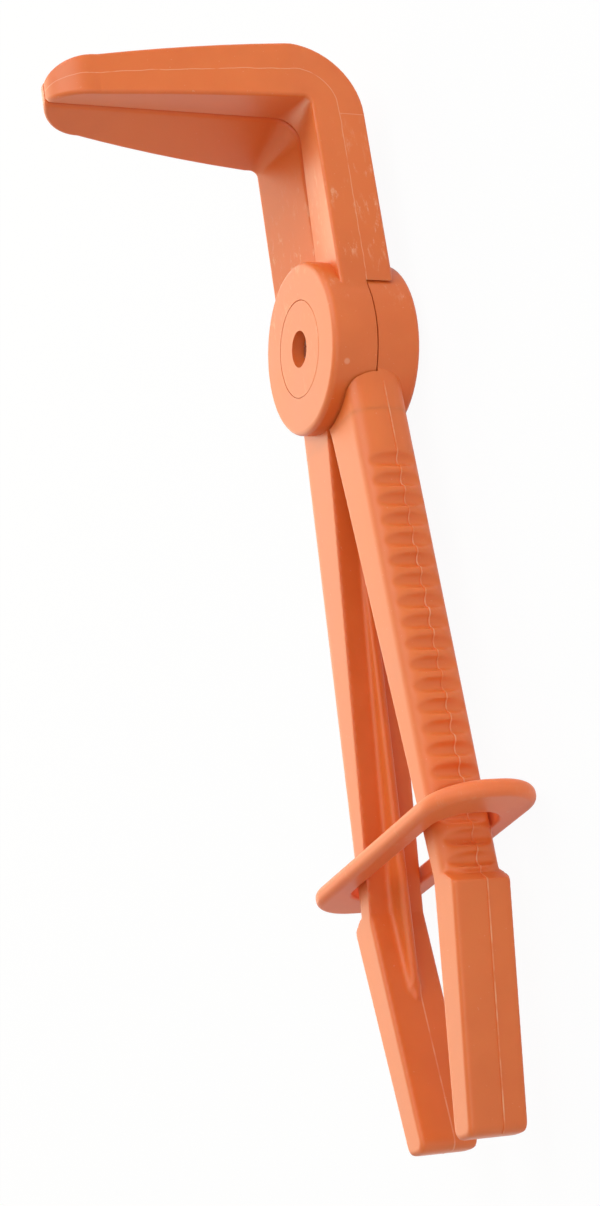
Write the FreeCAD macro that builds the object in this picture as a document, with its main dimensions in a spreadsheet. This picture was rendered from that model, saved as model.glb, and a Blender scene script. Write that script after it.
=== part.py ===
import FreeCAD, Part
import math
import os
import Sketcher

# Angled hose pinch clamp: two crossing nylon levers on a screwed pivot, held shut by a sliding ring.
#
# The clamp lies on its back. Z is the pivot axis and points up, Y runs along the tool towards the jaws,
# and the front lever's jaw is on the +X side. The origin is on the pivot axis, in the plane it lies on.

os.makedirs("parts", exist_ok=True)
doc = FreeCAD.newDocument("pinch_clamp")
VECTOR = FreeCAD.Vector

# ---------------------------------------------------------------- driving dimensions, millimetres
SIZES = {
    # the two lap discs round the pivot
    "disc_radius": 19.5,
    "disc_face": 10.5,          # from the parting plane to a disc's outer face
    "disc_rim": 1.4,            # rounding of the disc's outer rim
    "lap_gap": 0.3,             # between the two discs
    "lap_clearance": 0.5,       # round a disc, to the lever that passes it
    # jaws: one L shaped band, bent towards +Z, that narrows to the gripping face
    "jaw_depth": 17.9,          # from the gripping plane to the band
    "jaw_gap": 0.15,            # from the gripping plane to each gripping face
    "stem_half": 6.6,           # half width of the upright arm at the band
    "beam_low": 54.2,           # lower edge of the bent arm, from the pivot
    "beam_high": 68.3,          # upper edge of the bent arm
    "beam_reach": 63.2,         # tip of the bent arm, from the parting plane
    "nose_radius": 10.0,        # round nose that the two jaws make together
    "beam_middle": 14.8,        # depth of the bent arm half way along
    "elbow_outer": 17.3,
    "elbow_inner": 1.6,
    "jaw_taper": 13.2,          # degrees that each flank leans
    # handles: flat inside, crowned outside, spreading away from the pivot
    "handle_half": 6.6,
    "handle_top": 6.0,          # where the handle starts inside the disc, below the pivot
    "handle_end": 126.0,        # where the grip meets the end block
    "grip_inner_top": -1.7,
    "grip_inner_end": 16.3,
    "grip_outer_top": 13.7,
    "grip_outer_end": 22.3,
    "crown": 2.6,               # how far the two slopes of the rounded back rise
    "crown_fill": 0.96,         # share of each slope that the crest's arc takes
    "grip_edge": 3.4,           # rounding where the back meets the sides
    "handle_edge": 0.9,         # rounding of the long edges inside the grip and on the block
    # end block with the shoulder that stops the ring
    "shoulder": 3.4,            # how far the block stands out past the grip
    "shoulder_ramp": 2.4,
    "block_length": 52.0,
    "block_foot_outer": 15.3,
    "block_foot_inner": 7.3,
    "foot_round": 2.4,
    # stiffening web along the inside of the handle
    "web_half": 1.1,
    "web_top": 36.0,
    "web_end": 146.2,
    "web_crest_top": 3.0,
    "web_crest_end": 12.45,
    "web_root": 2.0,            # how deep the web is rooted in the handle
    # grip grooves
    "groove_first": 33.5,
    "groove_pitch": 4.75,
    "groove_count": 20,
    "groove_depth": 1.55,
    "groove_radius": 1.7,
    # lock ring
    "ring_half_length": 39.4,
    "ring_half_width": 12.6,
    "ring_thickness": 3.8,
    "ring_corner": 11.5,
    "slot_half_length": 28.25,
    "slot_clearance": 0.7,      # each side of the handles
    "slot_flat": 0.15,          # half of the short straight at each end of the slot
    "ring_place": 116.0,        # below the pivot
    "ring_tilt": 5.0,           # degrees, near side up
    "ring_rim": 1.7,
    "slot_rim": 0.8,
    # pivot
    "stud_radius": 11.0,
    "stud_head": 3.2,
    "shank_radius": 7.0,
    "fit_clearance": 0.08,      # shank and heads in their bores, on the radius
    "cap_seat": 4.5,            # depth of the rear counterbore
    "screw_hole": 2.15,
    "screw_radius": 2.0,
    "screw_head_radius": 4.0,
    "screw_head": 2.8,
    "screw_recess": 5.4,        # depth of the recess for the screw head
    "screw_recess_radius": 4.15,
    "screw_edge": 0.7,
    "cross_half": 2.1,
    "cross_slot": 0.45,
    "cross_depth": 1.6,
    "nut_flats": 7.0,
    "nut_height": 3.2,
    "nut_clearance": 0.15,
    "nut_sink": 0.5,            # nut below the cap's rear face
    "washer_radius": 4.5,
    "washer_height": 0.8,
    "head_edge": 0.25,
}

sheet = doc.addObject("Spreadsheet::Sheet", "dims")
for row, (name, size) in enumerate(SIZES.items(), start=1):
    sheet.set(f"A{row}", name)
    sheet.set(f"B{row}", str(size))
    sheet.setAlias(f"B{row}", name)
doc.recompute()

# the parting plane stands as high as the ring is half wide, so the clamp lies level
PLANE = "dims.ring_half_width"


def val(expression):
    """Value now of an expression on the sheet."""
    return float(sheet.evalExpression(str(expression)))


# ---------------------------------------------------------------- sketch helpers
def new_body(label):
    body = doc.addObject("PartDesign::Body", label)
    body.Label = label
    return body


def new_sketch(body, name, role, offset="0"):
    """Sketch on one of the body's origin planes, moved along that plane's normal by an expression."""
    sketch = body.newObject("Sketcher::SketchObject", name)
    plane = [f for f in body.Origin.OriginFeatures if f.Role == role][0]
    sketch.AttachmentSupport = [(plane, "")]
    sketch.MapMode = "FlatFace"
    sketch.setExpression("AttachmentOffset.Base.z", offset)
    doc.recompute()
    return sketch


def bind(sketch, constraint, expression):
    index = sketch.addConstraint(constraint)
    sketch.setExpression(f"Constraints[{index}]", str(expression))


def circle(sketch, radius, x="0", y="0"):
    centre = VECTOR(val(x), val(y), 0)
    arc = sketch.addGeometry(Part.Circle(centre, VECTOR(0, 0, 1), val(radius)))
    bind(sketch, Sketcher.Constraint("Radius", arc, val(radius)), radius)
    pin(sketch, arc, 3, x, y)
    return arc


def pin(sketch, shape, point, x, y):
    """Fix one point of a shape at two expressions, measured from the sketch's origin."""
    bind(sketch, Sketcher.Constraint("DistanceX", -1, 1, shape, point, val(x)), x)
    bind(sketch, Sketcher.Constraint("DistanceY", -1, 1, shape, point, val(y)), y)


def arc_ends(sketch, arc, start):
    """Numbers of an arc's first and last point, as the path runs from start. Sketches turn arcs round."""
    if sketch.getPoint(arc, 1).distanceToPoint(start) < sketch.getPoint(arc, 2).distanceToPoint(start):
        return 1, 2
    return 2, 1


def outline(sketch, corners):
    """Closed outline through corners (x, y) or (x, y, radius), all of them expressions."""
    points = [VECTOR(val(c[0]), val(c[1]), 0) for c in corners]
    radii = [val(c[2]) if len(c) > 2 else 0.0 for c in corners]
    count = len(corners)
    starts, ends = [], []
    for i in range(count):
        here, before, after = points[i], points[i - 1], points[(i + 1) % count]
        to_before = (before - here).normalize()
        to_after = (after - here).normalize()
        half = to_before.getAngle(to_after) / 2
        back = radii[i] / math.tan(half)
        ends.append(here + to_before * back)
        starts.append(here + to_after * back)
    lines = [sketch.addGeometry(Part.LineSegment(starts[i], ends[(i + 1) % count])) for i in range(count)]
    for i in range(count):
        line_in, line_out = lines[i - 1], lines[i]
        if radii[i] == 0:
            sketch.addConstraint(Sketcher.Constraint("Coincident", line_in, 2, line_out, 1))
            pin(sketch, line_out, 1, *corners[i][:2])
            continue
        bisector = ((points[i - 1] - points[i]).normalize()
                    + (points[(i + 1) % count] - points[i]).normalize()).normalize()
        half = (ends[i] - points[i]).getAngle(bisector)
        centre = points[i] + bisector * (radii[i] / math.sin(half))
        middle = centre - bisector * radii[i]
        arc = sketch.addGeometry(Part.Arc(ends[i], middle, starts[i]))
        first, last = arc_ends(sketch, arc, ends[i])
        sketch.addConstraint(Sketcher.Constraint("Tangent", line_in, 2, arc, first))
        sketch.addConstraint(Sketcher.Constraint("Tangent", arc, last, line_out, 1))
        bind(sketch, Sketcher.Constraint("Radius", arc, radii[i]), corners[i][2])
        corner = sketch.addGeometry(Part.Point(points[i]), True)
        sketch.addConstraint(Sketcher.Constraint("PointOnObject", corner, 1, line_in))
        sketch.addConstraint(Sketcher.Constraint("PointOnObject", corner, 1, line_out))
        pin(sketch, corner, 1, *corners[i][:2])


# ---------------------------------------------------------------- feature helpers
def pad(body, name, sketch, length, reverse=False, midplane=False, taper=None):
    feature = body.newObject("PartDesign::Pad", name)
    feature.Profile = sketch
    feature.setExpression("Length", length)
    feature.Reversed = reverse
    feature.Midplane = midplane
    if taper:
        feature.setExpression("TaperAngle", taper)
    doc.recompute()
    return feature


def pocket(body, name, sketch, length, reverse=False, midplane=False):
    """Cut a sketch's shape out of the body, and check that it took material away."""
    before = body.Shape.Volume
    feature = body.newObject("PartDesign::Pocket", name)
    feature.Profile = sketch
    feature.setExpression("Length", length)
    feature.Reversed = reverse
    feature.Midplane = midplane
    doc.recompute()
    assert body.Shape.Volume < before - 0.01, f"{name} cut nothing"
    return feature


def round_edges(body, name, radius, wanted):
    """Fillet the edges of the body's tip that the test picks."""
    edges = [f"Edge{i}" for i, edge in enumerate(body.Shape.Edges, start=1) if wanted(edge)]
    assert edges, f"{name} found no edges"
    feature = body.newObject("PartDesign::Fillet", name)
    feature.Base = (body.Tip if body.Tip is not feature else feature.BaseFeature, edges)
    feature.setExpression("Radius", radius)
    doc.recompute()
    assert "Invalid" not in feature.State, f"{name} failed"
    return feature


def lies_at(edge, axis, place, slack=1e-4):
    """True if all of the edge has this coordinate on this axis (0, 1 or 2)."""
    box = edge.BoundBox
    low = (box.XMin, box.YMin, box.ZMin)[axis]
    high = (box.XMax, box.YMax, box.ZMax)[axis]
    return abs(low - place) < slack and abs(high - place) < slack


# ---------------------------------------------------------------- levers
def jaw(body, side):
    """L shaped gripping face that widens to the band at full depth, then is shaped along its length."""
    face = new_sketch(body, "jaw_face", "YZ_Plane", f"{side} * dims.jaw_gap")
    lean = "(dims.jaw_depth - dims.jaw_gap) * tan(dims.jaw_taper * 1 deg)"
    half, far = f"(dims.stem_half - {lean})", "dims.beam_reach + dims.nose_radius"
    outline(face, [
        ("0", f"{PLANE} - {half}"),
        (f"dims.beam_high - {lean}", f"{PLANE} - {half}", f"dims.elbow_outer - {lean}"),
        (f"dims.beam_high - {lean}", f"{PLANE} + {far}"),
        (f"dims.beam_low + {lean}", f"{PLANE} + {far}"),
        (f"dims.beam_low + {lean}", f"{PLANE} + {half}", f"dims.elbow_inner + {lean}"),
        ("0", f"{PLANE} + {half}"),
    ])
    pad(body, "jaw_pad", face, "dims.jaw_depth - dims.jaw_gap", reverse=side < 0, taper="dims.jaw_taper")

    # what lies outside the curve of the bent arm and its round nose is cut away
    waste = new_sketch(body, "jaw_waste", "XZ_Plane", "-dims.beam_high / 2 - dims.elbow_outer")
    depth, reach, nose = val("dims.jaw_depth"), val("dims.beam_reach"), val("dims.nose_radius")
    plane = val(PLANE)
    proud = val("dims.jaw_gap")
    start = VECTOR(side * (depth + proud), plane + val("dims.stem_half + dims.elbow_inner"), 0)
    neck = VECTOR(side * nose, plane + reach - nose, 0)
    halfway = VECTOR(side * val("dims.beam_middle"), (start.y + neck.y) / 2, 0)
    tip = VECTOR(0, plane + reach, 0)
    shoulder_point = VECTOR(side * nose * math.sqrt(0.5), plane + reach - nose * (1 - math.sqrt(0.5)), 0)
    clear = depth + nose
    far_z = plane + reach + 2 * nose
    corners = [VECTOR(-side * nose, tip.y, 0), VECTOR(-side * nose, far_z, 0),
               VECTOR(side * clear, far_z, 0), VECTOR(side * clear, start.y, 0)]
    path = [Part.Arc(start, halfway, neck), Part.Arc(neck, shoulder_point, tip),
            Part.LineSegment(tip, corners[0])]
    path += [Part.LineSegment(corners[i], corners[i + 1]) for i in range(3)]
    path.append(Part.LineSegment(corners[3], start))
    for piece in path:
        index = waste.addGeometry(piece)
        waste.addConstraint(Sketcher.Constraint("Block", index))
    pocket(body, "jaw_shape", waste, "dims.beam_high")


# the grip's back is two slopes, joined by the crest's arc and rounded into the sides
BACK_SLOPE = "sqrt(dims.handle_half ^ 2 + dims.crown ^ 2)"
BACK_LEAN = "atan(dims.crown / dims.handle_half)"
CREST_RADIUS = (f"(dims.crown_fill * ({BACK_SLOPE} - dims.grip_edge / tan(45 deg + {BACK_LEAN} / 2))"
                " * dims.handle_half / dims.crown)")
CREST_HEIGHT = f"(dims.crown - {CREST_RADIUS} * ({BACK_SLOPE} / dims.handle_half - 1))"


def grip(body, side):
    """Handle from the disc to the end block: a round-backed bar along its outer line, cut flat inside."""
    section = new_sketch(body, "grip_section", "XZ_Plane", "dims.handle_top")
    inner = "(dims.grip_outer_top - dims.grip_outer_end)"
    outline(section, [
        (f"{side} * {inner}", f"{PLANE} - dims.handle_half"),
        (f"{side} * dims.grip_outer_top", f"{PLANE} - dims.handle_half", "dims.grip_edge"),
        (f"{side} * (dims.grip_outer_top + dims.crown)", PLANE, CREST_RADIUS),
        (f"{side} * dims.grip_outer_top", f"{PLANE} + dims.handle_half", "dims.grip_edge"),
        (f"{side} * {inner}", f"{PLANE} + dims.handle_half"),
    ])
    bar = body.newObject("PartDesign::Pad", "grip_bar")
    bar.Profile = section
    bar.UseCustomVector = True
    bar.AlongSketchNormal = False
    for axis, run in (("x", f"{side} * (dims.grip_outer_end - dims.grip_outer_top)"),
                      ("y", "dims.handle_top - dims.handle_end"), ("z", "0")):
        bar.setExpression(f"Direction.{axis}", run)
    bar.setExpression("Length", "sqrt((dims.grip_outer_end - dims.grip_outer_top) ^ 2"
                                " + (dims.handle_end - dims.handle_top) ^ 2)")
    doc.recompute()

    inside = new_sketch(body, "grip_inside", "XY_Plane", PLANE)
    back = "(dims.grip_outer_top - dims.grip_outer_end - 1)"
    outline(inside, [
        (f"{side} * dims.grip_inner_top", "-dims.handle_top"),
        (f"{side} * dims.grip_inner_end", "-dims.handle_end"),
        (f"{side} * {back}", "-dims.handle_end"),
        (f"{side} * {back}", "-dims.handle_top"),
    ])
    pocket(body, "grip_flat", inside, "4 * dims.handle_half", midplane=True)


def end_block(body, side):
    """Block below the grip, with a ramped shoulder on its outer side and a rounded foot."""
    block = new_sketch(body, "block_side", "XY_Plane", PLANE)
    shoulder = "dims.grip_outer_end + dims.shoulder"
    foot = "-(dims.handle_end + dims.block_length)"
    outline(block, [
        (f"{side} * dims.grip_inner_end", "-dims.handle_end"),
        (f"{side} * dims.grip_outer_end", "-dims.handle_end"),
        (f"{side} * ({shoulder})", "-(dims.handle_end + dims.shoulder_ramp)"),
        (f"{side} * dims.block_foot_outer", foot),
        (f"{side} * dims.block_foot_inner", foot),
    ])
    pad(body, "block_pad", block, "2 * dims.handle_half", midplane=True)


def web(body, side):
    """Thin stiffening web that stands on the inner face of the handle."""
    profile = new_sketch(body, "web_side", "XY_Plane", PLANE)
    slope = "(dims.grip_inner_end - dims.grip_inner_top) / (dims.handle_end - dims.handle_top)"
    root_top = f"dims.grip_inner_top + {slope} * (dims.web_top - dims.handle_top) + dims.web_root"
    outline(profile, [
        (f"{side} * dims.web_crest_top", "-dims.web_top"),
        (f"{side} * dims.web_crest_end", "-dims.web_end"),
        (f"{side} * (dims.grip_inner_end + dims.web_root)", "-dims.handle_end"),
        (f"{side} * ({root_top})", "-dims.web_top"),
    ])
    pad(body, "web_pad", profile, "2 * dims.web_half", midplane=True)


def grooves(body, side):
    """Row of round-bottomed grooves across the crowned outside of the grip."""
    rise = "(dims.grip_outer_end - dims.grip_outer_top) / (dims.handle_end - dims.handle_top)"
    first_x = (f"dims.grip_outer_top + {CREST_HEIGHT} + {rise} * (dims.groove_first - dims.handle_top)"
               " - dims.groove_depth + dims.groove_radius")
    cutter = new_sketch(body, "groove_round", "XY_Plane", PLANE)
    circle(cutter, "dims.groove_radius", f"{side} * ({first_x})", "-dims.groove_first")
    drop = val("dims.groove_count") * val("dims.groove_pitch")
    start = VECTOR(side * val(first_x), -val("dims.groove_first"), 0)
    along = cutter.addGeometry(
        Part.LineSegment(start, start + VECTOR(side * val(rise) * drop, -drop, 0)), True)
    pin(cutter, along, 1, f"{side} * ({first_x})", "-dims.groove_first")
    bind(cutter, Sketcher.Constraint("DistanceY", along, 1, along, 2, -drop),
         "-dims.groove_count * dims.groove_pitch")
    bind(cutter, Sketcher.Constraint("DistanceX", along, 1, along, 2, side * val(rise) * drop),
         f"{side} * {rise} * dims.groove_count * dims.groove_pitch")
    cut = pocket(body, "groove", cutter, "4 * dims.handle_half", midplane=True)
    row = body.newObject("PartDesign::LinearPattern", "groove_row")
    row.Originals = [cut]
    row.Direction = (cutter, ["Axis0"])
    row.setExpression("Occurrences", "dims.groove_count")
    row.setExpression("Length", f"(dims.groove_count - 1) * dims.groove_pitch * sqrt(1 + ({rise}) ^ 2)")
    body.Tip = row
    doc.recompute()


def lever(label, side, face):
    """One lever. side is +1 for a jaw on +X, face is +1 for a disc on the upper half."""
    body = new_body(label)
    half_gap = "dims.lap_gap / 2"
    jaw(body, side)
    grip(body, -side)
    end_block(body, -side)
    web(body, -side)

    # the disc joins the jaw to the handle
    disc = new_sketch(body, "disc_round", "XY_Plane", f"{PLANE} + {face} * {half_gap}")
    circle(disc, "dims.disc_radius")
    pad(body, "disc_pad", disc, f"dims.disc_face - {half_gap}", reverse=face < 0)

    # the other lever's disc turns in this pocket
    lap = new_sketch(body, "lap_round", "XY_Plane", f"{PLANE} + {face} * {half_gap}")
    circle(lap, "dims.disc_radius + dims.lap_clearance")
    pocket(body, "lap_pocket", lap, "2 * dims.disc_face", reverse=face < 0)

    # bore for the pivot's shank, and the counterbore that its head or cap sinks into
    bore = new_sketch(body, "bore_round", "XY_Plane", PLANE)
    circle(bore, "dims.shank_radius + dims.fit_clearance")
    pocket(body, "bore", bore, "4 * dims.disc_face", midplane=True)
    seat = new_sketch(body, "seat_round", "XY_Plane", f"{PLANE} + {face} * dims.disc_face")
    circle(seat, "dims.stud_radius + dims.fit_clearance")
    pocket(body, "seat", seat, "dims.stud_head" if face > 0 else "dims.cap_seat", reverse=face < 0)
    grooves(body, -side)
    return body


def soften_lever(body, face):
    """Round the long edges that a hand meets, and the block's foot, as the moulding has them."""
    half, plane = val("dims.handle_half"), val(PLANE)
    foot = -val("dims.handle_end + dims.block_length")
    rim = plane + face * val("dims.disc_face")
    seat = 3 * val("dims.stud_radius")
    round_edges(body, "disc_rim", "dims.disc_rim", lambda e: lies_at(e, 2, rim) and e.BoundBox.XLength > seat)

    def foot_edge(edge):
        return lies_at(edge, 1, foot) and edge.BoundBox.ZLength > half
    round_edges(body, "foot_round", "dims.foot_round", foot_edge)

    below_disc = -val("dims.disc_radius") + 1e-3
    ramp = val("dims.shoulder_ramp")

    def long_edge(edge):
        flat = lies_at(edge, 2, plane - half) or lies_at(edge, 2, plane + half)
        return flat and edge.BoundBox.YMax < below_disc and edge.BoundBox.YLength > 2 * ramp
    round_edges(body, "handle_edges", "dims.handle_edge", long_edge)


# ---------------------------------------------------------------- lock ring
def lock_ring():
    """Oval plate with a slot for both handles. It hangs a little tilted on the grips."""
    body = new_body("lock_ring")
    plate = new_sketch(body, "ring_outside", "XZ_Plane", "-dims.ring_thickness / 2")
    length, width, corner = "dims.ring_half_length", "dims.ring_half_width", "dims.ring_corner"
    outline(plate, [(f"{x} * {length}", f"{z} * {width}", corner)
                    for x, z in ((-1, -1), (1, -1), (1, 1), (-1, 1))])
    pad(body, "ring_plate", plate, "dims.ring_thickness")
    slot = new_sketch(body, "slot_outline", "XZ_Plane", "-dims.ring_thickness / 2")
    half = "(dims.handle_half + dims.slot_clearance)"
    outline(slot, [(f"{x} * dims.slot_half_length", f"{z} * {half}", f"{half} - dims.slot_flat")
                   for x, z in ((-1, -1), (1, -1), (1, 1), (-1, 1))])
    pocket(body, "slot", slot, "dims.ring_thickness", reverse=True)
    reach = val(half) + 1e-3

    def in_slot(edge):
        box = edge.BoundBox
        flat = abs(box.YMin - box.YMax) < 1e-4
        return flat and max(abs(box.ZMin), abs(box.ZMax)) < reach

    def on_rim(edge):
        box = edge.BoundBox
        return abs(box.YMin - box.YMax) < 1e-4 and not in_slot(edge)
    round_edges(body, "ring_rim", "dims.ring_rim", on_rim)
    round_edges(body, "slot_rim", "dims.slot_rim", in_slot)
    body.setExpression("Placement.Base.y", "-dims.ring_place")
    body.setExpression("Placement.Base.z", PLANE)
    body.setExpression("Placement.Rotation.Angle", "dims.ring_tilt * 1 deg")
    return body


# ---------------------------------------------------------------- pivot
def cylinder(name, radius, height, low):
    """Cylinder on the pivot axis, from the height low upwards."""
    shape = doc.addObject("Part::Cylinder", name)
    shape.setExpression("Radius", radius)
    shape.setExpression("Height", height)
    shape.setExpression("Placement.Base.z", low)
    return shape


def combine(kind, name, base, tool):
    result = doc.addObject(f"Part::{kind}", name)
    result.Base, result.Tool = base, tool
    return result


def hexagon(name, flats, height, low):
    prism = doc.addObject("Part::Prism", name)
    prism.Polygon = 6
    prism.setExpression("Circumradius", f"({flats}) / sqrt(3)")
    prism.setExpression("Height", height)
    prism.setExpression("Placement.Base.z", low)
    return prism


def rounded(label, shape, radius, place):
    """Fillet the outer round edge of a turned piece at one height."""
    doc.recompute()
    picked = [(i, val(radius), val(radius)) for i, edge in enumerate(shape.Shape.Edges, start=1)
              if lies_at(edge, 2, place) and edge.BoundBox.XLength > 2 * val("dims.shank_radius")]
    fillet = doc.addObject("Part::Fillet", label)
    fillet.Base = shape
    fillet.Edges = picked
    return fillet


HEAD_TOP = f"({PLANE} + dims.disc_face)"
HEAD_LOW = f"({HEAD_TOP} - dims.stud_head)"
CAP_TOP = f"({PLANE} - dims.disc_face + dims.cap_seat)"
SCREW_SEAT = f"({HEAD_TOP} - dims.screw_recess)"
NUT_POCKET = "(dims.nut_sink + dims.nut_height + dims.washer_height)"


def pivot_stud():
    """Flush front head on a shank that both discs turn on, bored for the screw."""
    head = cylinder("stud_head", "dims.stud_radius", "dims.stud_head", HEAD_LOW)
    shank = cylinder("stud_shank", "dims.shank_radius", f"{HEAD_TOP} - {CAP_TOP}", CAP_TOP)
    body = combine("Fuse", "stud_turned", head, shank)
    recess = cylinder("stud_recess", "dims.screw_recess_radius", "dims.screw_recess", SCREW_SEAT)
    hole = cylinder("stud_hole", "dims.screw_hole", f"{HEAD_TOP}", "0")
    hollow = combine("Fuse", "stud_hollow", recess, hole)
    stud = combine("Cut", "stud_bored", body, hollow)
    result = rounded("pivot_stud", stud, "dims.head_edge", val(HEAD_TOP))
    result.Label = "pivot_stud"
    return result


def pivot_cap():
    """Rear head that stands proud of the rear disc, with a round recess for washer and nut."""
    head = cylinder("cap_head", "dims.stud_radius", CAP_TOP, "0")
    hole = cylinder("cap_hole", "dims.screw_hole", CAP_TOP, "0")
    room = cylinder("cap_recess", "dims.washer_radius + dims.nut_clearance", NUT_POCKET, "0")
    hollow = combine("Fuse", "cap_hollow", room, hole)
    cap = combine("Cut", "cap_bored", head, hollow)
    result = rounded("pivot_cap", cap, "dims.head_edge", 0.0)
    result.Label = "pivot_cap"
    return result


def pivot_washer():
    disc = cylinder("washer_disc", "dims.washer_radius", "dims.washer_height",
                    "dims.nut_sink + dims.nut_height")
    hole = cylinder("washer_hole", "dims.screw_hole", "dims.washer_height",
                    "dims.nut_sink + dims.nut_height")
    washer = combine("Cut", "pivot_washer", disc, hole)
    washer.Label = "pivot_washer"
    return washer


def pivot_nut():
    nut = hexagon("nut_hex", "dims.nut_flats", "dims.nut_height", "dims.nut_sink")
    hole = cylinder("nut_hole", "dims.screw_hole", "dims.nut_height", "dims.nut_sink")
    result = combine("Cut", "pivot_nut", nut, hole)
    result.Label = "pivot_nut"
    return result


def pivot_screw():
    """Pan head screw: turned head and shank, with a cross recess cut from above."""
    body = new_body("pivot_screw")
    head = new_sketch(body, "screw_head_round", "XY_Plane", SCREW_SEAT)
    circle(head, "dims.screw_head_radius")
    pad(body, "screw_head_pad", head, "dims.screw_head")
    top = val(f"{SCREW_SEAT} + dims.screw_head")
    round_edges(body, "screw_head_edge", "dims.screw_edge", lambda edge: lies_at(edge, 2, top))
    shank = new_sketch(body, "screw_shank_round", "XY_Plane", SCREW_SEAT)
    circle(shank, "dims.screw_radius")
    pad(body, "screw_shank", shank, f"{SCREW_SEAT} - dims.nut_sink / 2", reverse=True)
    cross = new_sketch(body, "screw_cross", "XY_Plane", f"{SCREW_SEAT} + dims.screw_head")
    arm, slot = "dims.cross_half", "dims.cross_slot"
    corners = [(arm, slot), (slot, slot), (slot, arm)]
    turned = []
    for quarter in range(4):
        cos, sin = (1, 0, -1, 0)[quarter], (0, 1, 0, -1)[quarter]
        turned += [(f"{cos} * {x} - {sin} * {y}", f"{sin} * {x} + {cos} * {y}") for x, y in corners]
    outline(cross, turned)
    pocket(body, "screw_recess", cross, "dims.cross_depth")
    return body


# ---------------------------------------------------------------- build, check and write
front_lever = lever("front_lever", 1, 1)
rear_lever = lever("rear_lever", -1, -1)
soften_lever(front_lever, 1)
soften_lever(rear_lever, -1)
pieces = [front_lever, rear_lever, lock_ring(), pivot_stud(), pivot_cap(), pivot_washer(), pivot_nut(),
          pivot_screw()]
doc.recompute()

failed = [item.Label for item in doc.Objects if "Invalid" in item.State or "Error" in item.State]
assert not failed, f"failed objects: {failed}"
for piece in pieces:
    assert not piece.Shape.isNull() and piece.Shape.isValid(), f"{piece.Label} has no valid shape"
    assert len(piece.Shape.Solids) == 1, f"{piece.Label} is {len(piece.Shape.Solids)} solids"
for piece in pieces:
    piece.Shape.exportStep(f"parts/{piece.Label}.step")
    box = piece.Shape.optimalBoundingBox(False)
    sides = " ".join(f"{side:.2f}" for side in (box.XLength, box.YLength, box.ZLength))
    print(f"{piece.Label:14s} {piece.Shape.Volume:10.1f} mm3   {sides} mm   lowest {box.ZMin:.2f}")
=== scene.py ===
# %% [markdown]
# # Angled pinch clamp: looks
#
# A long nylon clamp that pinches a hose shut. Two levers cross at a screwed pivot, and an oval ring
# slides down the handles to hold the jaws closed. The clamp lies on its back on a pale bench.
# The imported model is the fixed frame: it gives every place and size. This file adds the moulded
# surfaces, the finishes, the light and the camera.

# %% Load the frame
from math import radians

import bpy
from mathutils import Matrix, Vector


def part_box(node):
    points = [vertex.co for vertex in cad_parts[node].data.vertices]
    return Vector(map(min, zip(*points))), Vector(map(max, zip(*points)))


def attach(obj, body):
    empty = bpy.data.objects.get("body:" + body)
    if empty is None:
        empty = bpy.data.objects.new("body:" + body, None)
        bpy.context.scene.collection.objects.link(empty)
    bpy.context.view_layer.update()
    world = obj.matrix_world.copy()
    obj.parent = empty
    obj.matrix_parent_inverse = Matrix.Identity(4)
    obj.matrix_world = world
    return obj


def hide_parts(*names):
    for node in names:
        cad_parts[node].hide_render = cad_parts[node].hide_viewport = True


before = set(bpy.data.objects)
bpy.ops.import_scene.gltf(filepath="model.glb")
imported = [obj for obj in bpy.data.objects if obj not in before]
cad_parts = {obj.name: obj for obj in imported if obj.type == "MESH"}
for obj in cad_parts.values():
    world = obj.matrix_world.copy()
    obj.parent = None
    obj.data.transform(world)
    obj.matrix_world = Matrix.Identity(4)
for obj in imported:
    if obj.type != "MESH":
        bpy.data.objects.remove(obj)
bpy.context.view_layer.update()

MM = 0.001
print("frame:", ", ".join(sorted(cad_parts)))

# %% [markdown]
# The places that the finishes and the mould lines need are read from the frame. The parting plane
# of the mould is where the two levers meet at the pivot, which is half way up the ring. Each jaw
# leaves its disc as a straight arm, turns an elbow, and ends in a raised arm. The far side of the
# raised arm is as far as a lever reaches along Y.

# %% Places taken from the frame
ring_low, ring_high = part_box("lock_ring")
PARTING = (ring_low[2] + ring_high[2]) / 2
ARM_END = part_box("front_lever")[1][1]
print(f"parting plane at {PARTING / MM:.2f} mm, raised arm's far side at {ARM_END / MM:.1f} mm")

# %% [markdown]
# Edit mode works on whatever is selected, and the frame arrives with everything selected. Three small
# helpers keep that in hand: one takes a single object, one selects faces by a test on their centre
# and normal, and one applies a modifier once it is set.

# %% Selecting and applying
def only(piece):
    bpy.ops.object.select_all(action="DESELECT")
    piece.select_set(True)
    bpy.context.view_layer.objects.active = piece


def pick_faces(piece, wanted):
    """Select in edit mode the faces whose centre and normal pass the test, and count them."""
    bpy.ops.object.mode_set(mode="EDIT")
    bpy.ops.mesh.select_mode(type="FACE")
    bpy.ops.mesh.select_all(action="DESELECT")
    bpy.ops.object.mode_set(mode="OBJECT")
    picked = [face for face in piece.data.polygons if wanted(face.center, face.normal)]
    for face in picked:
        face.select = True
    bpy.ops.object.mode_set(mode="EDIT")
    return len(picked)


def apply(piece, kind, **settings):
    only(piece)
    modifier = piece.modifiers.new(kind.lower(), kind)
    for name, value in settings.items():
        setattr(modifier, name, value)
    bpy.ops.object.modifier_apply(modifier=modifier.name)


# %% [markdown]
# Each lever is one moulding. It starts as a copy of its CAD piece, because that shape is already
# right. The copy's loose triangles are merged, and the flat areas are made whole again, so that the
# next tools see only real edges.

# %% A moulding from a CAD piece
WELD_DISTANCE = 0.002 * MM
FLAT_WITHIN = radians(0.6)


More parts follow.
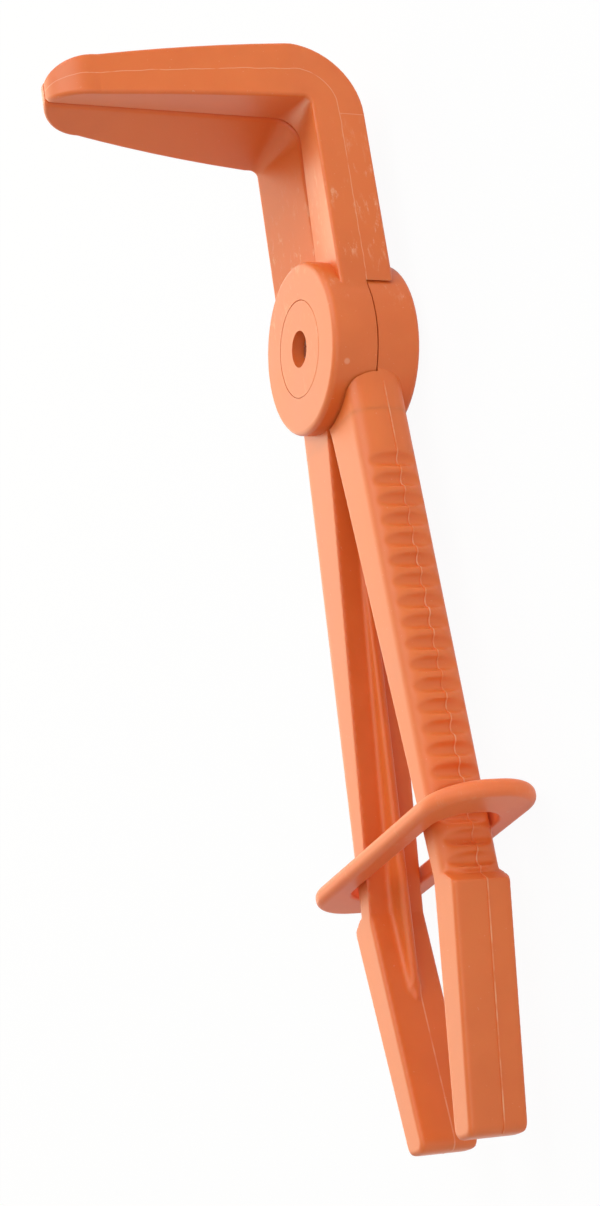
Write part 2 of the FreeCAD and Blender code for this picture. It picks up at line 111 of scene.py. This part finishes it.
def moulding(node, name):
    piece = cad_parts[node].copy()
    piece.data = piece.data.copy()
    piece.name = piece.data.name = name
    piece.parent = None
    bpy.context.collection.objects.link(piece)
    only(piece)
    bpy.ops.mesh.customdata_custom_splitnormals_clear()
    bpy.ops.object.mode_set(mode="EDIT")
    bpy.ops.mesh.select_all(action="SELECT")
    bpy.ops.mesh.remove_doubles(threshold=WELD_DISTANCE)
    bpy.ops.mesh.dissolve_limited(angle_limit=FLAT_WITHIN)
    bpy.ops.object.mode_set(mode="OBJECT")
    print(f"{name}: {len(piece.data.polygons)} faces")
    return piece


front = moulding("front_lever", "front_lever_moulding")
rear = moulding("rear_lever", "rear_lever_moulding")

# %% [markdown]
# A real moulding has no sharp edge anywhere, because the plastic doesn't fill a sharp corner of the
# mould. The jaw is made of plain flats and arcs, so a bevel on its sharp edges is enough. It stops at
# the disc, whose outer rim is round in the CAD model already. The bevel isn't clamped: a clamp would
# shrink every rounding to what the shortest edge can take.

# %% Rounded edges on the jaw
JAW_START = 24 * MM
JAW_ROUNDING = 1.1 * MM
ROUNDING_STEPS = 5
SHARP_FROM = radians(40)


def round_jaw(piece):
    """Round the sharp edges of the jaw, above the pivot's disc."""
    only(piece)
    bpy.ops.object.mode_set(mode="EDIT")
    bpy.ops.mesh.select_mode(type="EDGE")
    bpy.ops.mesh.select_all(action="DESELECT")
    bpy.ops.mesh.edges_select_sharp(sharpness=SHARP_FROM)
    bpy.ops.object.mode_set(mode="OBJECT")
    points = piece.data.vertices
    for edge in piece.data.edges:
        first, last = (points[index].co for index in edge.vertices)
        edge.select = edge.select and first.y + last.y > 2 * JAW_START
    bpy.ops.object.mode_set(mode="EDIT")
    bpy.ops.mesh.bevel(offset=JAW_ROUNDING, segments=ROUNDING_STEPS, affect="EDGES",
                       clamp_overlap=False)
    bpy.ops.object.mode_set(mode="OBJECT")
    print(f"{piece.name}: {len(piece.data.polygons)} faces with the jaw's edges rounded")


# %% [markdown]
# The handle has too many curved edges to bevel one by one: grooves, web, shoulder and end block. It is
# made again as an even skin, which is then relaxed, so that every edge melts into its neighbours as it
# does in the mould. The disc with its close fits stays exact, and the two are joined just below it,
# with a short overlap that leaves no gap.

# %% Soft handle on an exact disc and jaw
HANDLE_START = -21 * MM
OVERLAP = 0.3 * MM
SKIN_CELL = 0.4 * MM
RELAX_SHARE = 0.5
RELAX_PASSES = 5


def cut_across(piece, height, keep_above):
    """Cut the piece at this height up the clamp, close the cut, and keep one side."""
    only(piece)
    bpy.ops.object.mode_set(mode="EDIT")
    bpy.ops.mesh.select_all(action="SELECT")
    bpy.ops.mesh.bisect(plane_co=(0, height, 0), plane_no=(0, 1, 0), use_fill=True,
                        clear_inner=keep_above, clear_outer=not keep_above)
    bpy.ops.object.mode_set(mode="OBJECT")


def soften_handle(piece):
    handle = piece.copy()
    handle.data = piece.data.copy()
    bpy.context.collection.objects.link(handle)
    apply(handle, "REMESH", mode="VOXEL", voxel_size=SKIN_CELL)
    apply(handle, "SMOOTH", factor=RELAX_SHARE, iterations=RELAX_PASSES)
    cut_across(handle, HANDLE_START, keep_above=False)
    cut_across(piece, HANDLE_START - OVERLAP, keep_above=True)
    only(piece)
    handle.select_set(True)
    bpy.ops.object.join()
    print(f"{piece.name}: {len(piece.data.polygons)} faces with the soft handle")


for lever in (front, rear):
    round_jaw(lever)
    soften_handle(lever)

# %% [markdown]
# Where the halves of the mould meet, a little plastic creeps between them and leaves a fine raised
# line, called flash. On this clamp it runs down the crown of each handle, across the grooves, about a
# millimetre below the level of the parting plane at the pivot. Two cuts leave a thin strip of faces
# there, and that strip is pushed out.

# %% Flash along the handles
FLASH_WIDTH = 0.28 * MM
FLASH_HEIGHT = 0.15 * MM
FLASH_LEVEL = PARTING - 1.0 * MM
FLASH_START = -14.5 * MM
FACING_OUT = 0.3


def flash_line(piece, side):
    """Raise a thin strip on the outside of the handle that lies on this side."""
    only(piece)
    for edge in (FLASH_LEVEL - FLASH_WIDTH / 2, FLASH_LEVEL + FLASH_WIDTH / 2):
        pick_faces(piece, lambda centre, normal: centre.y < FLASH_START and centre.x * side > 0)
        bpy.ops.mesh.bisect(plane_co=(0, 0, edge), plane_no=(0, 0, 1))
    count = pick_faces(piece, lambda centre, normal: abs(centre.z - FLASH_LEVEL) < FLASH_WIDTH / 2
                       and centre.y < FLASH_START and normal.x * side > FACING_OUT)
    bpy.ops.mesh.extrude_region_shrink_fatten(TRANSFORM_OT_shrink_fatten={"value": FLASH_HEIGHT})
    bpy.ops.object.mode_set(mode="OBJECT")
    print(f"{piece.name}: flash over {count} faces")


flash_line(front, -1)
flash_line(rear, 1)

# %% [markdown]
# Smooth shading comes last, once every face is there. The weighted normals keep the large flats flat
# right up to the rounded edges.

# %% Smooth shading
SMOOTH_WITHIN = radians(32)
LARGE_FACES_FIRST = 60

for lever in (front, rear):
    only(lever)
    bpy.ops.object.shade_smooth_by_angle(angle=SMOOTH_WITHIN)
    apply(lever, "WEIGHTED_NORMAL", keep_sharp=True, weight=LARGE_FACES_FIRST)
    print(lever.name, "shaded")

# %% [markdown]
# The new pieces stand for their CAD nodes and ride on the same bodies. The ring, the pivot's two
# halves and the screw with its washer and nut keep their CAD shapes, which are already right.

# %% Place the mouldings on the frame
for piece, node in ((front, "front_lever"), (rear, "rear_lever")):
    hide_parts(node)
    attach(piece, node)
    print(piece.name, "stands for", node)

# %% [markdown]
# The finishes are built from nodes, in code. These helpers keep that short. Every pattern reads the
# Object coordinates, which are metres in the clamp's own frame, so a noise of scale 1000 has features
# of about a millimetre.

# %% Node helpers
def fill(tree, socket, value):
    """Link a socket, or set a number or colour on it."""
    if isinstance(value, (int, float, tuple)):
        socket.default_value = value
    else:
        tree.links.new(value, socket)


def math_node(tree, operation, first, second=None, clamp=False):
    node = tree.nodes.new("ShaderNodeMath")
    node.operation = operation
    node.use_clamp = clamp
    fill(tree, node.inputs[0], first)
    if second is not None:
        fill(tree, node.inputs[1], second)
    return node.outputs[0]


def plus(tree, first, second, clamp=False):
    return math_node(tree, "ADD", first, second, clamp)


def minus(tree, first, second, clamp=False):
    return math_node(tree, "SUBTRACT", first, second, clamp)


def times(tree, first, second, clamp=False):
    return math_node(tree, "MULTIPLY", first, second, clamp)


def over(tree, first, second):
    return math_node(tree, "DIVIDE", first, second)


def larger(tree, first, second):
    return math_node(tree, "MAXIMUM", first, second)


def distance(tree, first, second):
    return math_node(tree, "ABSOLUTE", minus(tree, first, second))


def object_coordinates(tree):
    return tree.nodes.new("ShaderNodeTexCoord").outputs["Object"]


def three_parts(tree, place):
    split = tree.nodes.new("ShaderNodeSeparateXYZ")
    tree.links.new(place, split.inputs[0])
    return split.outputs


def noise(tree, place, scale, detail=2.0, roughness=0.5):
    node = tree.nodes.new("ShaderNodeTexNoise")
    node.inputs["Detail"].default_value = detail
    node.inputs["Roughness"].default_value = roughness
    tree.links.new(place, node.inputs["Vector"])
    fill(tree, node.inputs["Scale"], scale)
    return node.outputs["Fac"]


def steps(tree, value, low, high):
    """0 below low, 1 above high, smooth between."""
    node = tree.nodes.new("ShaderNodeMapRange")
    node.interpolation_type = "SMOOTHSTEP"
    tree.links.new(value, node.inputs["Value"])
    node.inputs["From Min"].default_value = low
    node.inputs["From Max"].default_value = high
    return node.outputs["Result"]


# %% [markdown]
# An effect that several finishes share is a node group: it is built once, has named inputs and
# outputs, and is placed in each material with that material's own values.

# %% Group helpers
def new_group(name, inputs, outputs):
    group = bpy.data.node_groups.new(name, "ShaderNodeTree")
    for label, default in inputs.items():
        socket = group.interface.new_socket(label, in_out="INPUT", socket_type="NodeSocketFloat")
        socket.default_value = default
    for label in outputs:
        group.interface.new_socket(label, in_out="OUTPUT", socket_type="NodeSocketFloat")
    given = group.nodes.new("NodeGroupInput").outputs
    result = group.nodes.new("NodeGroupOutput").inputs
    return group, given, result


def place_group(tree, group, **values):
    node = tree.nodes.new("ShaderNodeGroup")
    node.node_tree = group
    for label, value in values.items():
        node.inputs[label.replace("_", " ")].default_value = value
    return node.outputs


# %% [markdown]
# The skin of a moulding has a very fine grain, which it takes from the mould, and a slow drift in
# tone from the way the plastic flowed.

# %% The moulded skin
DRIFT_SHARE = 0.7
CLOUD_SCALE = 140.0


def moulded_skin():
    group, given, result = new_group("moulded_skin", {"Grain": 2600.0, "Drift": 28.0},
                                     ("Height", "Tone"))
    place = object_coordinates(group)
    grain = noise(group, place, given["Grain"], detail=3.0, roughness=0.55)
    drift = times(group, noise(group, place, given["Drift"]), DRIFT_SHARE)
    cloud = times(group, noise(group, place, CLOUD_SCALE, detail=3.0), 1.0 - DRIFT_SHARE)
    group.links.new(grain, result["Height"])
    group.links.new(plus(group, drift, cloud), result["Tone"])
    return group


SKIN = moulded_skin()
print("group:", SKIN.name)

# %% [markdown]
# Handling leaves pale marks: fine specks all over, and short slanted rubs in loose patches. The rubs
# are thickest at a place along the clamp that each finish chooses, and thin out away from it.

# %% Scuffs and specks
RUB_SCALE = 620.0
RUB_STRETCH = (1.0, 0.35, 1.0)
RUB_SLANT = (0.5, 0.0, 0.0)
RUB_RANGE = (0.52, 0.70)
PATCH_SCALE = 130.0
PATCH_RANGE = (0.42, 0.60)
SPECK_SCALE = 1500.0
SPECK_RANGE = (0.74, 0.80)
SPECK_SHARE = 0.25


def scuff_marks():
    group, given, result = new_group("scuff_marks", {"Amount": 0.5, "Heart Y": 0.03, "Reach": 0.03},
                                     ("Mask",))
    place = object_coordinates(group)
    parts = three_parts(group, place)
    away = distance(group, parts["Y"], given["Heart Y"])
    near = minus(group, 1.0, over(group, away, given["Reach"]), clamp=True)
    slanted = group.nodes.new("ShaderNodeMapping")
    slanted.inputs["Scale"].default_value = RUB_STRETCH
    slanted.inputs["Rotation"].default_value = RUB_SLANT
    group.links.new(place, slanted.inputs["Vector"])
    streaks = noise(group, slanted.outputs[0], RUB_SCALE, detail=5.0, roughness=0.75)
    rubs = steps(group, streaks, *RUB_RANGE)
    patches = steps(group, noise(group, place, PATCH_SCALE), *PATCH_RANGE)
    specks = steps(group, noise(group, place, SPECK_SCALE, detail=1.0), *SPECK_RANGE)
    worn = times(group, times(group, rubs, patches), near)
    both = plus(group, worn, times(group, specks, SPECK_SHARE))
    group.links.new(times(group, both, given["Amount"], clamp=True), result["Mask"])
    return group


SCUFFS = scuff_marks()
print("group:", SCUFFS.name)

# %% [markdown]
# The parting line also crosses the outside of each jaw. It is only a hair's width there, too thin to
# model, so it is a pale line in the finish: along the middle of the straight arm, round the elbow, and
# along the middle of the raised arm. A slow wave keeps it from looking ruled, and small breaks show
# where it was rubbed away.

# %% The line over the jaw
LINE_DEPTH = 7.0 * MM
ELBOW_RADIUS = 9.0 * MM
WAVE_SCALE = 160.0
WAVE_HEIGHT = 0.9 * MM
BREAK_SCALE = 330.0
BREAK_RANGE = (0.25, 0.50)
JAW_FADE = (0.0, 12 * MM)


def thin_line(group, off, half_width):
    return minus(group, 1.0, over(group, off, half_width), clamp=True)


def line_over_jaw(group, place, parts, half_width):
    """Straight, a quarter circle and straight, found by the distance from the elbow's centre."""
    past_elbow = minus(group, parts["Y"], ARM_END - LINE_DEPTH - ELBOW_RADIUS)
    above_elbow = minus(group, parts["Z"], PARTING + ELBOW_RADIUS)
    up = math_node(group, "MAXIMUM", past_elbow, 0.0)
    down = math_node(group, "MINIMUM", above_elbow, 0.0)
    squares = plus(group, times(group, down, down), times(group, up, up))
    wave = times(group, minus(group, noise(group, place, WAVE_SCALE), 0.5), WAVE_HEIGHT)
    radius = plus(group, math_node(group, "SQRT", squares), wave)
    line = thin_line(group, distance(group, radius, ELBOW_RADIUS), half_width)
    whole = steps(group, noise(group, place, BREAK_SCALE, detail=3.0), *BREAK_RANGE)
    return times(group, times(group, line, whole), steps(group, parts["Y"], *JAW_FADE))


print(f"the line turns the elbow on a {ELBOW_RADIUS / MM:.0f} mm arc")

# %% [markdown]
# Three more marks of the mould are pale in the same way. The crest of the flash on the handles is
# worn pale in places. A short line across the lower half of the straight arm shows where the mould
# has an insert. A small dot on the front disc's rim is left by the pin that pushed the moulding out.

# %% The other mould marks
CREST_EDGE = (0.4 * FLASH_WIDTH, 0.7 * FLASH_WIDTH)
WEAR_SCALE = 240.0
WEAR_RANGE = (0.25, 0.7)
INSERT_EDGE = 50.5 * MM
INSERT_STRENGTH = 0.8
PIN_MARK = Vector((16.5, -10.3, 19.9)) * MM
PIN_EDGE = (0.4 * MM, 0.9 * MM)
PIN_STRENGTH = 0.7


def worn_flash(group, place, parts):
    crest = minus(group, 1.0, steps(group, distance(group, parts["Z"], FLASH_LEVEL), *CREST_EDGE))
    on_handle = math_node(group, "LESS_THAN", parts["Y"], FLASH_START)
    worn = steps(group, noise(group, place, WEAR_SCALE, detail=3.0), *WEAR_RANGE)
    return times(group, times(group, crest, on_handle), worn)


def insert_line(group, parts, half_width):
    line = thin_line(group, distance(group, parts["Y"], INSERT_EDGE), half_width)
    lower_half = math_node(group, "LESS_THAN", parts["Z"], PARTING)
    return times(group, times(group, line, lower_half), INSERT_STRENGTH)


def pin_mark(group, place):
    away = group.nodes.new("ShaderNodeVectorMath")
    away.operation = "DISTANCE"
    group.links.new(place, away.inputs[0])
    away.inputs[1].default_value = PIN_MARK
    return times(group, minus(group, 1.0, steps(group, away.outputs["Value"], *PIN_EDGE)), PIN_STRENGTH)


def parting_line():
    group, given, result = new_group("parting_line", {"Half Width": 0.14 * MM}, ("Mask",))
    place = object_coordinates(group)
    parts = three_parts(group, place)
    jaw = line_over_jaw(group, place, parts, given["Half Width"])
    insert = insert_line(group, parts, given["Half Width"])
    lines = larger(group, insert, larger(group, jaw, worn_flash(group, place, parts)))
    group.links.new(larger(group, lines, pin_mark(group, place)), result["Mask"])
    return group


PARTING_LINE = parting_line()
print("group:", PARTING_LINE.name)

# %% [markdown]
# A material starts from the Principled shader. Numbers that are the same all over a surface are set
# on the shader's own sockets. A fine height pattern goes through a Bump node to the normal.

# %% Material helpers
def new_material(name, **settings):
    material = bpy.data.materials.new(name)
    material.use_nodes = True
    shader = material.node_tree.nodes["Principled BSDF"]
    for label, value in settings.items():
        shader.inputs[label.replace("_", " ")].default_value = value
    return material, material.node_tree, shader.inputs


def colour_mix(tree, factor, first, second):
    """The Mix node has a set of sockets for each kind of data, so the colours go by number."""
    node = tree.nodes.new("ShaderNodeMix")
    node.data_type = "RGBA"
    fill(tree, node.inputs[0], factor)
    fill(tree, node.inputs[6], first)
    fill(tree, node.inputs[7], second)
    return node.outputs[2]


def bump(tree, height, strength, depth):
    node = tree.nodes.new("ShaderNodeBump")
    node.inputs["Strength"].default_value = strength
    node.inputs["Distance"].default_value = depth
    tree.links.new(height, node.inputs["Height"])
    return node.outputs["Normal"]


# %% [markdown]
# The plastic is orange nylon: satin, and a little translucent, so light that enters near an edge
# comes out redder. One function makes it. The levers are the most worn, and the ring is a less
# glossy moulding, so each finish gets its own values. The ring's oranges are also paler than the
# levers': that lightness is painted light, which stands in for more light on the ring's faces than the
# lamps give.

# %% Orange nylon
DEEP_ORANGE = (0.74, 0.155, 0.026, 1.0)
WARM_ORANGE = (0.80, 0.180, 0.034, 1.0)
# The ring's two oranges are paler by painted light, for more light on its faces than the lamps give.
RING_DEEP_WITH_PAINTED_LIGHT = (0.88, 0.205, 0.068, 1.0)
RING_WARM_WITH_PAINTED_LIGHT = (0.92, 0.235, 0.082, 1.0)
RUBBED = (0.93, 0.52, 0.32, 1.0)
TONE_RANGE = (0.35, 0.65)
NYLON_ROUGHNESS = 0.36
TONE_ROUGHENS = 0.16
RUBBING_ROUGHENS = 0.18
RUBBING_RAISES = 1.2
GRAIN_STRENGTH = 0.22
GRAIN_DEPTH = 0.05 * MM
SCUFF_REACH = 26 * MM
RING_PLACE = -116 * MM
JAW_PLACE = 25 * MM


def nylon(name, deep=DEEP_ORANGE, warm=WARM_ORANGE, gloss=0.5, scuff_amount=0.5,
          scuff_place=JAW_PLACE, line=0.0):
    material, tree, shader = new_material(
        name, IOR=1.53, Specular_IOR_Level=gloss, Subsurface_Weight=0.25,
        Subsurface_Radius=(1.0, 0.32, 0.10), Subsurface_Scale=1.6 * MM)
    skin = place_group(tree, SKIN)
    scuffs = place_group(tree, SCUFFS, Amount=scuff_amount, Heart_Y=scuff_place, Reach=SCUFF_REACH)
    pale = scuffs["Mask"]
    if line:
        parting = place_group(tree, PARTING_LINE)
        pale = plus(tree, pale, times(tree, parting["Mask"], line), clamp=True)
    tone = steps(tree, skin["Tone"], *TONE_RANGE)
    colour = colour_mix(tree, pale, colour_mix(tree, tone, deep, warm), RUBBED)
    tree.links.new(colour, shader["Base Color"])
    roughness = plus(tree, times(tree, skin["Tone"], TONE_ROUGHENS), NYLON_ROUGHNESS)
    roughness = plus(tree, roughness, times(tree, pale, RUBBING_ROUGHENS))
    tree.links.new(roughness, shader["Roughness"])
    height = plus(tree, skin["Height"], times(tree, pale, RUBBING_RAISES))
    tree.links.new(bump(tree, height, GRAIN_STRENGTH, GRAIN_DEPTH), shader["Normal"])
    return material


lever_nylon = nylon("lever_nylon", scuff_amount=0.85, line=0.6)
# The ring's finish takes the paler oranges, whose extra lightness is painted light.
ring_nylon = nylon("ring_nylon", RING_DEEP_WITH_PAINTED_LIGHT, RING_WARM_WITH_PAINTED_LIGHT, gloss=0.22, scuff_amount=0.3,
                   scuff_place=RING_PLACE)
pivot_nylon = nylon("pivot_nylon", scuff_amount=0.25, scuff_place=0.0)
print("materials:", lever_nylon.name, ring_nylon.name, pivot_nylon.name)

# %% [markdown]
# Screw, washer and nut are zinc plated steel: grey and bright, with the fine rings that turning
# leaves about the pivot's axis, and duller patches where the plating is thin.

# %% Zinc plated steel
ZINC_DULL = (0.42, 0.42, 0.41, 1.0)
ZINC_BRIGHT = (0.63, 0.63, 0.61, 1.0)
PLATING_SCALE = 420.0
PLATING_RANGE = (0.35, 0.65)
STEEL_ROUGHNESS = 0.24
BRIGHT_ROUGHENS = 0.14
TURNED_SCALE = 1800.0
TURNED_WOBBLE = 1.5
TURNED_STRENGTH = 0.15
TURNED_DEPTH = 0.02 * MM


def zinc_steel(name):
    material, tree, shader = new_material(name, Metallic=1.0)
    place = object_coordinates(tree)
    patches = steps(tree, noise(tree, place, PLATING_SCALE, detail=3.0), *PLATING_RANGE)
    tree.links.new(colour_mix(tree, patches, ZINC_DULL, ZINC_BRIGHT), shader["Base Color"])
    roughness = plus(tree, times(tree, patches, BRIGHT_ROUGHENS), STEEL_ROUGHNESS)
    tree.links.new(roughness, shader["Roughness"])
    turned = tree.nodes.new("ShaderNodeTexWave")
    turned.wave_type = "RINGS"
    turned.rings_direction = "Z"
    turned.inputs["Scale"].default_value = TURNED_SCALE
    turned.inputs["Distortion"].default_value = TURNED_WOBBLE
    tree.links.new(place, turned.inputs["Vector"])
    rings = bump(tree, turned.outputs["Fac"], TURNED_STRENGTH, TURNED_DEPTH)
    tree.links.new(rings, shader["Normal"])
    return material


screw_steel = zinc_steel("screw_steel")
print("material:", screw_steel.name)

# %% [markdown]
# A new piece takes its finish in its mesh. A CAD node keeps its mesh untouched, so its finish is put
# in the material slots that it already has.

# %% Put the finishes on
for piece in (front, rear):
    piece.data.materials.clear()
    piece.data.materials.append(lever_nylon)

CAD_FINISHES = {"lock_ring": ring_nylon, "pivot_stud": pivot_nylon, "pivot_cap": pivot_nylon,
                "pivot_washer": screw_steel, "pivot_nut": screw_steel, "pivot_screw": screw_steel}
for node, material in CAD_FINISHES.items():
    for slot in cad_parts[node].material_slots:
        slot.material = material
    print(node, "->", material.name)

# %% [markdown]
# The bench is a wide pale sheet. To the camera, and in reflections, most of it glows an even white.
# The rest is a plain diffuse sheet, which keeps the soft shadow that the clamp throws.

# %% Bench
BENCH_WIDTH = 4.0
BENCH_DROP = 0.02 * MM
BENCH_WHITE = (0.90, 0.90, 0.90, 1.0)
GLOW_SHARE = 0.95


def seen_directly(tree):
    """1 for what the camera sees, straight or in a reflection, and 0 for light on the object."""
    rays = tree.nodes.new("ShaderNodeLightPath").outputs
    mirrored = larger(tree, rays["Is Glossy Ray"], rays["Is Transmission Ray"])
    return larger(tree, rays["Is Camera Ray"], mirrored)


def bench_white():
    material = bpy.data.materials.new("bench_white")
    material.use_nodes = True
    tree = material.node_tree
    tree.nodes.clear()
    diffuse = tree.nodes.new("ShaderNodeBsdfDiffuse")
    diffuse.inputs["Color"].default_value = BENCH_WHITE
    glow = tree.nodes.new("ShaderNodeEmission")
    glow.inputs["Strength"].default_value = 1.0
    mix = tree.nodes.new("ShaderNodeMixShader")
    tree.links.new(times(tree, seen_directly(tree), GLOW_SHARE), mix.inputs[0])
    tree.links.new(diffuse.outputs[0], mix.inputs[1])
    tree.links.new(glow.outputs[0], mix.inputs[2])
    output = tree.nodes.new("ShaderNodeOutputMaterial")
    tree.links.new(mix.outputs[0], output.inputs["Surface"])
    return material


bpy.ops.object.select_all(action="DESELECT")
bpy.ops.mesh.primitive_plane_add(size=BENCH_WIDTH, location=(0, 0, -BENCH_DROP))
sheet = bpy.context.object
sheet.name = "bench"
sheet.data.materials.append(bench_white())
print(f"bench: {BENCH_WIDTH:.0f} m wide")

# %% [markdown]
# A big soft lamp hangs above the clamp, beyond the jaws, so the faces that look up are the palest. A
# warm one stands low on the far side and gives the rounded flanks their sheen. A weak one fills from
# the camera's side.

# %% Lamps
ON_THE_BENCH = Vector((0, -0.05, 0))
ON_THE_CLAMP = Vector((0, -0.05, 0.02))
PLAIN_WHITE = (1.0, 1.0, 1.0)
WARM_TINT = (1.0, 0.90, 0.64)


def soft_lamp(name, place, target, size, power, tint=PLAIN_WHITE):
    data = bpy.data.lights.new(name, "AREA")
    data.shape = "SQUARE"
    data.size = size
    data.energy = power
    data.color = tint
    lamp = bpy.data.objects.new(name, data)
    bpy.context.collection.objects.link(lamp)
    lamp.location = place
    lamp.rotation_euler = (target - Vector(place)).to_track_quat("-Z", "Y").to_euler()
    print(f"{name}: {power} W")


soft_lamp("tent_lamp", (0.28, 0.60, 0.85), ON_THE_BENCH, size=1.0, power=7.5)
soft_lamp("sheen_lamp", (-1.0, 0.30, 0.45), ON_THE_CLAMP, size=1.3, power=12.0, tint=WARM_TINT)
soft_lamp("fill_lamp", (1.0, -0.4, 0.6), ON_THE_CLAMP, size=0.9, power=3.8)

# %% [markdown]
# The world is white where the camera sees it, beyond the bench's edge or in a reflection. As light on
# the clamp it is only an even, weak glow from all sides.

# %% World
AMBIENT = 0.26

world = bpy.data.worlds.new("studio")
bpy.context.scene.world = world
world.use_nodes = True
sky = world.node_tree
background = sky.nodes["Background"].inputs
background["Color"].default_value = (*PLAIN_WHITE, 1.0)
level = plus(sky, times(sky, seen_directly(sky), 1.0 - AMBIENT), AMBIENT)
sky.links.new(level, background["Strength"])
print("world:", world.name)

# %% [markdown]
# The camera stands a little over half a metre off, on the side of the rear lever's handle, and is
# rolled so that it sees the jaws at the top. Its place is given by where it looks from, the direction
# to its right and the direction to its top.

# %% Camera
EYE = Vector((466.1, -220.6, 242.4)) * MM
TO_RIGHT = Vector((0.3669, -0.1399, -0.9197))
TO_TOP = Vector((0.3301, 0.9439, -0.0119))
LENS = 74.14
NEAREST_SEEN = 0.01

right = TO_RIGHT.normalized()
back = right.cross(TO_TOP).normalized()
top = back.cross(right)
camera_data = bpy.data.cameras.new("studio_camera")
camera_data.lens = LENS
camera_data.clip_start = NEAREST_SEEN
camera = bpy.data.objects.new("studio_camera", camera_data)
bpy.context.collection.objects.link(camera)
camera.matrix_world = Matrix.Translation(EYE) @ Matrix((right, top, back)).transposed().to_4x4()
scene = bpy.context.scene
scene.camera = camera
scene.view_settings.view_transform = "Standard"
print(f"camera: {EYE.length:.2f} m off, {LENS} mm lens")
